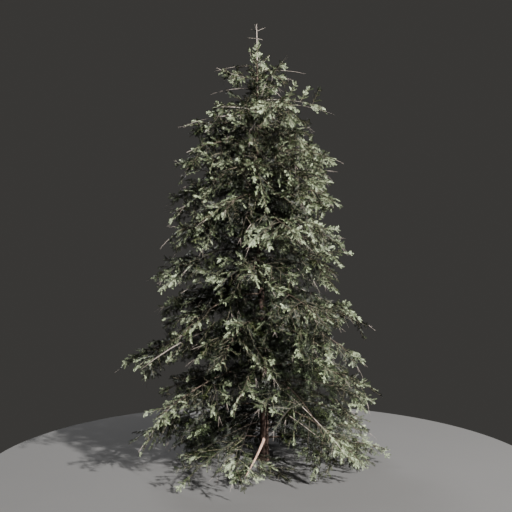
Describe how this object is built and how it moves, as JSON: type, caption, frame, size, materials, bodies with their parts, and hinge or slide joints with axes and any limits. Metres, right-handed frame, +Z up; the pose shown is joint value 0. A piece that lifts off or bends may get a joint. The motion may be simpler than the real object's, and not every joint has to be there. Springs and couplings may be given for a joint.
{
  "type": "silver fir tree",
  "caption": "Young silver fir with a tapering leaning trunk, whorls of drooping boughs and flat masses of needle sprays down to the ground.",
  "frame": {"origin": "centre of the trunk's foot at ground level", "axes": "+Z up along the trunk, -Y towards the camera, +X to the right in the picture"},
  "size_m": [4.9122, 4.7767, 8],
  "materials": {
    "bark": "rough grey-brown bark",
    "needles": "waxy silvery grey-green needles"
  },
  "bodies": {
    "root": {"trunk": "bark", "limb_w01_1": "bark", "limb_w01_2": "bark", "limb_w01_3": "bark", "limb_w01_4": "bark", "limb_w02_1": "bark", "limb_w02_2": "bark", "limb_w02_3": "bark", "limb_w02_4": "bark", "limb_w02_5": "bark", "foliage_w01_1": "needles", "foliage_w01_2": "needles", "foliage_w01_3": "needles", "foliage_w01_4": "needles", "foliage_w02_1": "needles", "foliage_w02_2": "needles", "foliage_w02_3": "needles", "foliage_w02_4": "needles", "foliage_w02_5": "needles", "foliage_w03_1": "needles", "foliage_w03_2": "needles", "foliage_w03_3": "needles", "foliage_w03_4": "needles", "foliage_w03_5": "needles", "foliage_w04_1": "needles", "foliage_w04_2": "needles", "foliage_w04_3": "needles", "foliage_w04_4": "needles", "foliage_w04_5": "needles", "foliage_w05_1": "needles", "foliage_w05_2": "needles", "foliage_w05_3": "needles", "foliage_w05_4": "needles", "foliage_w05_5": "needles", "foliage_w06_1": "needles", "foliage_w06_2": "needles", "foliage_w06_3": "needles", "foliage_w06_4": "needles", "foliage_w07_1": "needles", "foliage_w07_2": "needles", "foliage_w07_3": "needles", "foliage_w07_4": "needles", "foliage_w08_1": "needles", "foliage_w08_2": "needles", "foliage_w08_3": "needles", "foliage_w08_4": "needles", "foliage_w09_1": "needles", "foliage_w09_2": "needles", "foliage_w09_3": "needles", "foliage_w10_1": "needles", "foliage_w10_2": "needles", "foliage_w10_3": "needles", "foliage_w11_1": "needles", "foliage_w11_2": "needles", "foliage_w11_3": "needles", "foliage_w12_1": "needles", "foliage_w12_2": "needles", "foliage_w12_3": "needles", "foliage_w13_1": "needles", "foliage_w13_2": "needles"}
  },
  "joints": []
}
